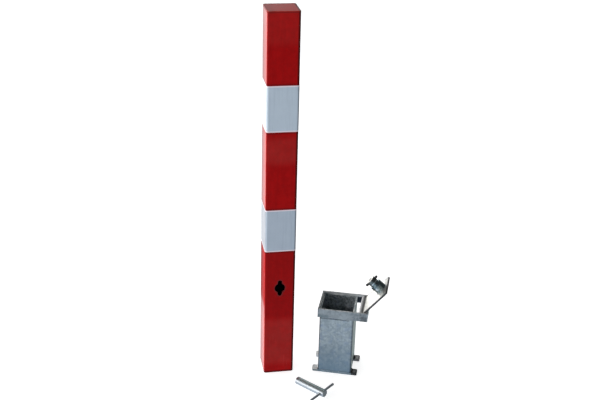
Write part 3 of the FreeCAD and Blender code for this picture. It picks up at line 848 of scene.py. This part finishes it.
@dataclass
class GroundSocket:
    """The square socket with its collar, anchor bars and hinge pin."""

    half: float = 0.04
    wall: float = 0.003
    collar: float = 0.004
    collar_base: float = 0.153
    collar_top: float = 0.175
    rim: float = 0.1746
    tube_rim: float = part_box("socket_tube")[1].z - 0.0004
    right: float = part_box("collar_front_bar")[1].x
    bar_top: float = 0.005
    margin: float = 0.002
    above: float = 0.18
    lip: float = 0.0355
    long_stitches: tuple[Limits, ...] = ((-0.036, -0.014), (0.012, 0.035))
    side_stitches: tuple[Limits, ...] = ((-0.034, -0.012), (0.012, 0.034))
    seams: tuple[Limits, ...] = ((-0.033, -0.008), (0.008, 0.033))
    foot_bead: Limits = (0.0215, 0.035)
    grime_and_shadow: Colour = (0.045, 0.055, 0.06)
    lit_pale: Colour = (0.9, 0.91, 0.9)
    seed: int = 11

    def build(self) -> None:
        """Dresses the galvanised nodes and lays the welds."""
        dress(HotDipZinc("galvanised_tube", foot=0.75, cast=0.34, deposits=self.tube_marks()), "socket_tube")
        # The bars' pale edges are partly worn zinc and partly a painted highlight
        bars = HotDipZinc(
            "galvanised_flat_bar", pale=(0.41, 0.435, 0.445), dull=(0.3, 0.32, 0.33), crystal=0.0045,
            run=(0.08, 1.0, 1.0), edge=0.75, edge_colour=(0.7, 0.72, 0.71), deposits=self.collar_marks(),
        )
        dress(bars, "collar_front_bar", "collar_back_bar", "collar_left_bar", "collar_end_bar")
        self.anchor("anchor_bar_front", (0.14, 0.16, 0.175), -0.0092, (0.016, 0.018, 0.019))
        self.anchor("anchor_bar_back", (0.018, 0.02, 0.022), -0.02, (0.22, 0.2, 0.2))
        pin = HotDipZinc("galvanised_pin", pale=(0.28, 0.29, 0.295), dull=(0.2, 0.21, 0.215), crystal=0.004)
        dress(pin, "hinge_pin")
        self.welds()

    def tube_marks(self) -> tuple[Deposit, ...]:
        """What lies on the tube: its sawn rim, painted light and shade inside and on its right side, dirt low
        down, and painted shadow under the collar.

        Returns:
            Its deposits.
        """
        inner, outer, rim, above = self.half - self.wall, self.half + self.margin, self.tube_rim, self.above
        deep, front, side = inner + 0.0005, -self.half + self.margin, self.half - 0.0006
        shelter = self.collar_base - self.margin
        pale, palest, sawn = (0.85, 0.9, 0.94), (0.95, 0.97, 1.0), (0.88, 0.9, 0.89)
        return (
            # Painted light falling down the inside, brightest in the far right corner
            Deposit((-inner, -inner, 0.135), (inner, inner, above), pale, 0.55, 0.0002, 210.0, 0.045),
            Deposit((0.012, 0.03, 0.13), (inner, inner, above), palest, 0.8, 0.0002, 150.0, matt=0.5),
            # The sawn rim, pale as bare steel and as a painted highlight
            Deposit((-outer, -outer, rim), (outer, outer, above), sawn, 0.8, 0.0003, 70.0, matt=0.9),
            # The front's left corner, darker; painted light on the whole right side; dirt along the front's
            # foot
            Deposit((-outer, -outer, 0.0), (-inner, -0.03, shelter), self.grime_and_shadow, 0.55, 0.001),
            Deposit((side, -self.lip, 0.0), (outer, outer, shelter), (0.47, 0.53, 0.51), 0.8, 0.0004),
            Deposit((-outer, -outer, 0.0), (outer, front, 0.007), self.grime_and_shadow, 0.28, 0.0012),
            # Painted shade in the bottom of the inside
            Deposit((-deep, -deep, 0.0), (deep, deep, 0.13), (0.02, 0.022, 0.024), 0.55, 0.0002, fade=0.016),
            # Painted shadow on the right side's foot, and on its stretch inside the collar
            Deposit((inner + 0.002, -0.03, 0.0), (outer, outer, 0.015), (0.012, 0.016, 0.018), 0.92, 0.002),
            Deposit((side, -self.lip, 0.152), (outer, inner, 0.17), self.grime_and_shadow, 0.65, 0.0004),
            # Painted shade on the left wall's inner face, and painted shadow on the front under the collar
            Deposit((-0.0385, -0.03, 0.15), (0.0004 - inner, 0.03, 0.1725), (0.03, 0.033, 0.035), 0.4, 0.002),
            Deposit((-outer, -outer, 0.148), (0.03, front, 0.154), self.grime_and_shadow, 0.6, 0.0012),
        )

    def collar_marks(self) -> tuple[Deposit, ...]:
        """What lies on the collar: painted highlights and light on its upper edges and right end, painted shade
        by the knuckle, and dirt and darker places on its front.

        Returns:
            Its deposits.
        """
        out, front, above = -self.half - 3 * self.margin, -self.half + self.margin, self.above
        low, high, end = self.collar_base - 0.003, self.collar_top - 0.0015, 0.0718
        top_edge, inner_edge = (0.86, 0.88, 0.87), (0.84, 0.87, 0.88)
        return (
            # A painted highlight on the upper edges
            Deposit((-0.05, -0.05, self.rim), (0.08, 0.05, above), top_edge, 0.75, 0.0003, 70.0, matt=0.8),
            # The front bar: its right half, grains of grime there, its lower right and lower left, its left end
            Deposit((0.035, out, low), (0.075, front, high), (0.1, 0.11, 0.11), 0.14, 0.015),
            Deposit((0.04, out, low), (end, front, high), self.grime_and_shadow, 0.27, 0.004, 230.0),
            Deposit((0.059, out, low), (end, front, 0.164), (0.03, 0.03, 0.03), 0.45, 0.005),
            Deposit((-0.04, out, 0.153), (-0.02, front, 0.159), (0.12, 0.17, 0.19), 0.5, 0.004),
            Deposit((-0.05, out, low), (-0.0428, front, 0.1745), self.grime_and_shadow, 0.6, 0.0006),
            # The left bar's outer upper edge, darker, and painted light on the back bar's inner upper edge
            Deposit((-0.05, out, self.rim), (-0.0414, -out, above), self.grime_and_shadow, 0.85, 0.0004),
            Deposit((-0.0385, 0.036, 0.1695), (0.068, 0.0402, 0.176), inner_edge, 0.9, 0.0004, matt=1.0),
            # Painted light on the right end, and painted shade on the back bar inside the bay beside the
            # knuckle
            Deposit((self.right - 0.0006, -0.05, low), (0.08, 0.05, high), (0.8, 0.86, 0.85), 0.8, 0.0004),
            Deposit((0.041, 0.03, 0.156), (0.056, 0.0402, 0.169), (0.012, 0.018, 0.03), 0.92),
        )

    def anchor(self, node: str, cut: Colour, lit_pale_from: float, shaded_dark: Colour) -> None:
        """Dresses an anchor bar, in axes from its own middle.

        Args:
            node: The bar's node.
            cut: The colour of its cut edges.
            lit_pale_from: How far to the front the painted light on the left end reaches.
            shaded_dark: The colour of the painted shade on its right end.
        """
        low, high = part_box(node)
        size = (high - low) / 2
        wide, tall, front = 0.02, 0.01, 0.001 - size.y
        marks = (
            # Painted light on the left end, painted shade on the right end with a paler strip across its top,
            # and the front edge under the tube
            Deposit((-0.055, lit_pale_from, -tall), (-0.0415, wide, tall), self.lit_pale, 0.88, 0.001),
            Deposit((0.041, -wide, -tall), (0.055, wide, tall), shaded_dark, 0.86, 0.001),
            Deposit((0.045, -0.004, 0.0018), (0.0495, 0.004, tall), (0.55, 0.56, 0.56), 0.6, 0.0016),
            Deposit((-self.half, -wide, -tall), (self.half, front, tall), (0.22, 0.29, 0.335), 0.85, 0.001),
        )
        # Its dark edges are painted shade
        look = HotDipZinc(
            f"galvanised_{node}", Stance(tuple((low + high) / 2)), dull=(0.26, 0.265, 0.27), metal=0.35,
            edge=0.75, edge_colour=(0.05, 0.055, 0.06), deposits=marks,
            sheared=Sheared(size.y, size.x, colour=cut, margin=0.0007),
        )
        dress(look, node)

    def welds(self) -> None:
        """Lays the stitches under the collar, its ground corners, and the beads and seams at the foot."""
        face, under = self.half + 0.0002, self.collar_base - 0.0002
        sides = (-1, 1)
        stitches = [
            ((left, side * face, under), (right, side * face, under))
            for side in sides for left, right in self.long_stitches
        ]
        stitches += [((-face, near, under), (-face, far, under)) for near, far in self.side_stitches]
        low, high = self.collar_base + 0.001, self.collar_top - 0.001
        ends = (-self.half - self.collar + 0.002, self.right - 0.002)
        corners = [((x, side * self.half, low), (x, side * self.half, high)) for x in ends for side in sides]
        start, stop = self.foot_bead
        beside, foot = self.half + 0.0003, self.bar_top + 0.0003
        left_feet, right_feet = (
            [((x, side * start, foot), (x, side * stop, foot)) for side in sides] for x in (-beside, beside)
        )
        edge, top = self.half - 0.0008, self.bar_top
        seams = [
            ((left, side * edge, top), (right, side * edge, top))
            for side in sides for left, right in self.seams
        ]
        plain = WeldMetal("galvanised_weld").material()
        # The left feet's welds are pale as painted light, the right feet's dark as painted shade
        lit_pale = WeldMetal("galvanised_weld_lit_pale", pale=self.lit_pale, dark=(0.76, 0.77, 0.76))
        shaded_dark = WeldMetal("galvanised_weld_shaded_dark", pale=(0.13, 0.14, 0.145), dark=(0.05, 0.055, 0.058))
        dulled = WeldMetal("galvanised_weld_low", pale=(0.42, 0.5, 0.56), dark=(0.28, 0.34, 0.39))
        draws = random.Random(self.seed)
        for name, bead, runs, look in (
            ("collar_weld_stitches", Bead(radius=0.0027), stitches, plain),
            ("collar_corner_welds", Bead(radius=0.0026, rough=0.04, end=BeadEnd.BLUNT), corners, plain),
            ("foot_welds_left", Bead(), left_feet, lit_pale.material()),
            ("foot_welds_right", Bead(), right_feet, shaded_dark.material()),
            ("foot_seams", Bead(radius=0.0018, rough=0.06), seams, dulled.material()),
        ):
            bead.piece(name, runs, look, draws)


@dataclass
class LockingPlate:
    """The hinged plate with its knuckle and the lock's barrel."""

    hinge: Vector = Vector(JOINTS["plate_hinge"]["pos_m"])
    lock: Vector = Vector(JOINTS["lock_turn"]["pos_m"])
    square: Vector = Vector(JOINTS["lock_turn"]["axis"]).normalized()
    half: float = 0.0393
    reach: float = 0.0845
    barrel: float = 0.014
    knuckle_beads: tuple[Limits, ...] = ((-0.034, -0.01), (0.01, 0.034))
    weld_start: float = -140.0
    weld_sweep: float = 372.0
    seed: int = 23

    def at(self, along: float, across: float, above: float) -> Vector:
        """A point on the open plate: along it from the hinge, across it, and above it square to it."""
        uphill = Vector((self.square.z, 0.0, -self.square.x))
        return self.hinge + uphill * along + self.square * above + Vector((0.0, across, 0.0))

    @property
    def lean(self) -> float:
        """The open plate's angle above the horizontal, in degrees."""
        return math.degrees(math.atan2(-self.square.x, self.square.z))

    @property
    def stance(self) -> Stance:
        """Axes along the open plate, across it and square to it, from the hinge."""
        return Stance(tuple(self.hinge), (0.0, -self.lean, 0.0))

    def build(self) -> None:
        """Dresses the plate's nodes, whose marks are measured from the hinge, and lays the welds."""
        # Painted shade on the plate's far end
        dark_end = Deposit((0.0732, -0.035, -0.001), (0.082, 0.035, 0.005), (0.12, 0.12, 0.112), 0.88, 0.0014)
        # The plate's zinc is painted paler than the collar's as painted light, and its wide dark margin is
        # painted shade that makes its edges look thicker
        plate = HotDipZinc(
            "galvanised_plate", self.stance, pale=(0.76, 0.755, 0.71), dull=(0.69, 0.685, 0.64),
            dark=(0.5, 0.5, 0.47), run=(0.06, 1.0, 1.0), metal=0.55, deposits=(dark_end,),
            sheared=Sheared(self.half, self.reach, colour=(0.038, 0.036, 0.037), margin=0.0026),
        )
        dress(plate, "lid_plate")
        # Painted shadow on the knuckle's side towards the plate; the knuckle's very pale zinc is painted light
        dark_side = Deposit((-0.003, -0.05, 0.001), (0.02, 0.05, 0.02), (0.17, 0.17, 0.17), 0.9, 0.001)
        knuckle = HotDipZinc(
            "galvanised_knuckle", Stance(tuple(self.hinge)), pale=(0.88, 0.86, 0.86), dull=(0.78, 0.76, 0.76),
            run=(1.0, 0.06, 1.0), deposits=(dark_side,),
        )
        dress(knuckle, "lid_knuckle")
        marks = (
            # Painted shade on the barrel's free end, a painted highlight near its base, and painted light on
            # its uphill side
            Deposit((0.04, -0.016, 0.015), (0.06, 0.004, 0.025), (0.085, 0.125, 0.14), 0.6, 0.003),
            Deposit((0.05, -0.016, 0.0015), (0.066, -0.006, 0.0115), (0.86, 0.9, 0.94), 0.75, 0.0025, 190.0),
            Deposit((0.0665, -0.013, -0.001), (0.074, 0.016, 0.013), (0.42, 0.49, 0.46), 0.7, 0.0025, matt=0.8),
        )
        barrel = HotDipZinc(
            "galvanised_barrel", self.stance, pale=(0.22, 0.285, 0.3), dull=(0.135, 0.19, 0.205), crystal=0.004,
            run=(1.0, 1.0, 0.1), metal=1.0, rough=0.2, edge=0.3, deposits=marks,
        )
        dress(barrel, "lock_barrel")
        self.welds()

    def welds(self) -> None:
        """Lays low beads on the plate's back by the knuckle, and one round the barrel's base that overlaps."""
        look = WeldMetal("galvanised_plate_weld", self.stance).material()
        draws = random.Random(self.seed)
        along, above = 0.0026, -0.004
        runs = [
            (tuple(self.at(along, near, above)), tuple(self.at(along, far, above)))
            for near, far in self.knuckle_beads
        ]
        Bead(radius=0.0021, rough=0.06).piece("knuckle_welds", runs, look, draws, Body.PLATE)
        bm = bmesh.new()
        radius = self.barrel + 0.0002
        centre = self.lock + self.square * 0.0002
        along = (self.at(1.0, 0.0, 0.0) - self.at(0.0, 0.0, 0.0)) * radius
        across = Vector((0, 1, 0)) * radius

        def circle(share: float) -> Vector:
            """The point at that share of the way round."""
            angle = math.radians(self.weld_start + self.weld_sweep * share)
            return centre + along * math.cos(angle) + across * math.sin(angle)

        Bead(radius=0.0017, rough=0.07).lay(bm, circle, radius * math.radians(self.weld_sweep), draws)
        finished("barrel_weld", bm, look, Body.PLATE)


@dataclass
class TurnLock:
    """The turning bolt: spindle, nose sleeve and cross pin."""

    plate: LockingPlate
    end: float = 0.0375
    clear: float = 0.02

    def build(self) -> None:
        """Dresses the bolt's three nodes."""
        stance = Stance(tuple(self.plate.lock), (0.0, 90.0 - self.plate.lean, 0.0))
        # On the nose: painted shade round the cross pin, a painted highlight ring, and painted shade round its
        # end
        rings = tuple(
            Deposit((first, -self.clear, -self.clear), (last, self.clear, self.clear), colour, share, soft)
            for first, last, colour, share, soft in (
                (-0.0344, -0.0275, (0.13, 0.125, 0.105), 0.65, 0.0004),
                (-0.0268, -0.0258, (0.95, 0.97, 0.95), 0.9, 0.0002),
                (-0.04, -0.0348, (0.36, 0.34, 0.31), 0.9, 0.0001),
            )
        )
        shades = (0.27, 0.35, 0.37), (0.18, 0.25, 0.27)
        dress(BrightZinc("bright_zinc_nose", stance, *shades, gloss=0.2, deposits=rings), "lock_nose")
        dress(OiledSteel("dark_steel_pin", stance), "lock_cross_pin")
        dress(OiledSteel("dark_steel_spindle", stance, bare_end=-self.end), "lock_spindle")


@dataclass
class Key:
    """The loose key: a turned shank with a cross handle."""

    tip: Triple = (-0.079, -0.098, 0.009)
    turn: float = -29.5
    radius: float = 0.009
    handle: float = 0.003
    handle_at: float = 0.073
    seed: int = 37

    def build(self) -> None:
        """Dresses the shank and handle and lays the two small welds between them."""
        stance, cross = (Stance(self.tip, (0.0, 0.0, turn)) for turn in (self.turn, self.turn + 90.0))
        marks = (
            # A painted cyan tint along its upper side that takes out the post's red reflection, a painted
            # reflection of the red post on the open end's lip, and the bright end past the handle
            Deposit((-0.1, -0.006, 0.007), (0.1, 0.0012, 0.02), (0.43, 0.555, 0.555), 0.9, 0.0005),
            Deposit((-0.02, -0.006, 0.007), (0.0045, 0.004, 0.02), (0.25, 0.19, 0.2), 0.75, 0.002),
            Deposit((0.0812, -0.02, -0.02), (0.09, 0.02, 0.02), (0.76, 0.81, 0.83), 0.8, 0.0004),
        )
        shades = (0.57, 0.6, 0.63), (0.41, 0.43, 0.46)
        shank = BrightZinc("bright_zinc_shank", stance, *shades, gloss=0.2, metal=0.62, deposits=marks)
        dress(shank, "key_shank")
        dress(BrightZinc("bright_zinc_handle", cross, gloss=0.28, metal=0.55), "key_tee_bar")
        self.welds(WeldMetal("zinc_weld", stance).material())

    def welds(self, look: bpy.types.Material) -> None:
        """Lays a small bead round the handle on each side of the shank.

        Args:
            look: Their material.
        """
        bm = bmesh.new()
        draws = random.Random(self.seed)
        turn = math.radians(self.turn)
        axis = Vector((math.cos(turn), math.sin(turn), 0.0))
        out = Vector((-math.sin(turn), math.cos(turn), 0.0))
        middle = Vector(self.tip) + axis * self.handle_at
        bead = Bead(radius=0.0008, ripple=0.0011, sides=8, rough=0.06)
        for side in (-1, 1):

            def saddle(share: float, side: int = side) -> Vector:
                """The line where the handle meets the round shank.

                Args:
                    share: How far round, from 0 to 1.
                    side: The shank's side, -1 or 1.

                Returns:
                    The point.
                """
                angle = 2 * math.pi * share
                rise = self.handle * math.sin(angle)
                reach = math.sqrt(self.radius**2 - rise**2)
                return middle + axis * self.handle * math.cos(angle) + Vector((0, 0, rise)) + out * side * reach

            bead.lay(bm, saddle, 2 * math.pi * self.handle, draws)
        finished("key_handle_welds", bm, look, Body.GROUND)


# The studio


@dataclass(frozen=True)
class Glow:
    """A soft bright side of the studio's surroundings, even from full to none by the cosine of the angle."""

    towards: Triple
    none: float
    full: float
    light: Colour
    ceiling: Limits = (1.5, 1.4)
    floor: Limits = (-1.5, -1.4)


@dataclass
class Studio:
    """Floor, surroundings, one softbox and the photograph's viewpoint.

    Heading and pitch are in degrees, the small roll in radians.
    """

    eye: Triple = (0.2105, -1.9529, 1.334)
    heading: float = 9.008
    pitch: float = 24.632
    roll: float = 0.0258
    focal_px: float = 963.6
    frame_px: float = 600.0
    sensor: float = 36.0
    clip: Limits = (0.05, 200.0)
    floor_reach: float = 60.0
    floor_grey: float = 0.85
    floor_glow: float = 0.82
    softbox_at: Triple = (-3.3, 0.2, 0.85)
    softbox_aim: Triple = (0.0, 0.0, 0.35)
    softbox_size: tuple[float, float] = (1.8, 1.2)
    softbox_watts: float = 30.0
    softbox_colour: Colour = (1.0, 0.985, 0.96)
    ambient: Colour = (0.09, 0.095, 0.095)
    glows: tuple[Glow, ...] = (
        Glow((-1.0, 0.12, 0.05), 0.15, 0.5, (2.2, 2.2, 2.2), (0.62, 0.44), (-0.27, -0.12)),
        Glow((-0.12, -0.85, -0.5), -0.1, 1.0, (0.42, 0.51, 0.61), (0.35, -0.1)),
        Glow((-0.6, 0.7, -0.4), 0.8, 0.95, (1.4, 1.4, 1.38), (0.2, 0.0)),
        Glow((-0.5, 0.1, -0.85), -0.1, 0.9, (0.32, 0.34, 0.37), (-0.1, -0.3)),
        Glow((0.15, 0.84, -0.53), 0.88, 0.97, (0.52, 0.6, 0.58), (0.0, -0.2)),
        Glow((-0.1, 0.83, 0.55), 0.72, 0.94, (0.38, 0.4, 0.4)),
    )

    def build(self) -> None:
        """Sets the whole studio up."""
        scene = bpy.context.scene
        scene.view_settings.view_transform = "Standard"
        scene.view_settings.look = "None"
        self.camera()
        self.floor()
        self.surroundings()
        self.softbox()

    def camera(self) -> None:
        """Camera at the photograph's viewing angle."""
        aim = Euler((math.radians(90.0 - self.pitch), 0.0, math.radians(self.heading))).to_matrix().to_4x4()
        data = bpy.data.cameras.new("photo_camera")
        data.sensor_width = self.sensor
        data.lens = self.focal_px * self.sensor / self.frame_px
        data.clip_start, data.clip_end = self.clip
        eye = bpy.data.objects.new("photo_camera", data)
        eye.matrix_world = Matrix.Translation(self.eye) @ aim @ Matrix.Rotation(self.roll, 4, "Z")
        bpy.context.scene.collection.objects.link(eye)
        bpy.context.scene.camera = eye

    def floor(self) -> None:
        """Wide pale floor."""
        bm = bmesh.new()
        bmesh.ops.create_grid(bm, x_segments=1, y_segments=1, size=self.floor_reach)
        mesh = bpy.data.meshes.new("floor")
        bm.to_mesh(mesh)
        bm.free()
        look = bpy.data.materials.new("pale_floor")
        recipe = Recipe(look)
        matt = recipe.node("BsdfDiffuse", values={"Color": (*(self.floor_grey,) * 3, 1.0)})
        glow = recipe.node("Emission", values={"Color": (1.0, 1.0, 1.0, 1.0), "Strength": self.floor_glow})
        both = recipe.node("AddShader", values={0: matt, 1: glow})
        recipe.node("OutputMaterial", values={"Surface": both})
        mesh.materials.append(look)
        floor = bpy.data.objects.new("floor", mesh)
        bpy.context.scene.collection.objects.link(floor)
        floor.visible_diffuse = False
        floor.visible_glossy = False

    def surroundings(self) -> None:
        """Plain surroundings, brighter on the left and behind, and white where the camera sees them."""
        world = bpy.data.worlds.new("studio")
        bpy.context.scene.world = world
        recipe = Recipe(world)
        facing = recipe.node("TexCoord", output="Generated")
        light = recipe.node("CombineXYZ", values=dict(enumerate(self.ambient)))
        _, _, height = facing.axes()
        for glow in self.glows:
            facet = facing.vector("DOT_PRODUCT", tuple(Vector(glow.towards).normalized()), "Value")
            share = facet.step(glow.none, glow.full) * height.step(*glow.ceiling) * height.step(*glow.floor)
            added = recipe.node("VectorMath", {"operation": "SCALE"}, {0: glow.light, "Scale": share})
            light = light.vector("ADD", added)
        seen = recipe.node("LightPath", output="Is Camera Ray")
        colour = recipe.layered(light, (seen, (1.0, 1.0, 1.0)))
        backdrop = recipe.node("Background", values={"Color": colour, "Strength": 1.0})
        recipe.node("OutputWorld", values={"Surface": backdrop})

    def softbox(self) -> None:
        """Large soft light low on the left."""
        data = bpy.data.lights.new("left_softbox", "AREA")
        data.shape = "RECTANGLE"
        data.size, data.size_y = self.softbox_size
        data.energy = self.softbox_watts
        data.color = self.softbox_colour
        box = bpy.data.objects.new("left_softbox", data)
        box.location = self.softbox_at
        aim = Vector(self.softbox_aim) - Vector(self.softbox_at)
        box.rotation_euler = aim.to_track_quat("-Z", "Y").to_euler()
        box.visible_glossy = False
        bpy.context.scene.collection.objects.link(box)


def main() -> None:
    """Builds the studio and every sub-assembly, and reports each piece."""
    logging.basicConfig(level=logging.INFO, format="%(name)s %(message)s")
    Studio().build()
    plate = LockingPlate()
    for unit in (Post(), GroundSocket(), plate, TurnLock(plate), Key()):
        unit.build()
        LOG.info("%s done", type(unit).__name__)


if __name__ == "__main__":
    main()
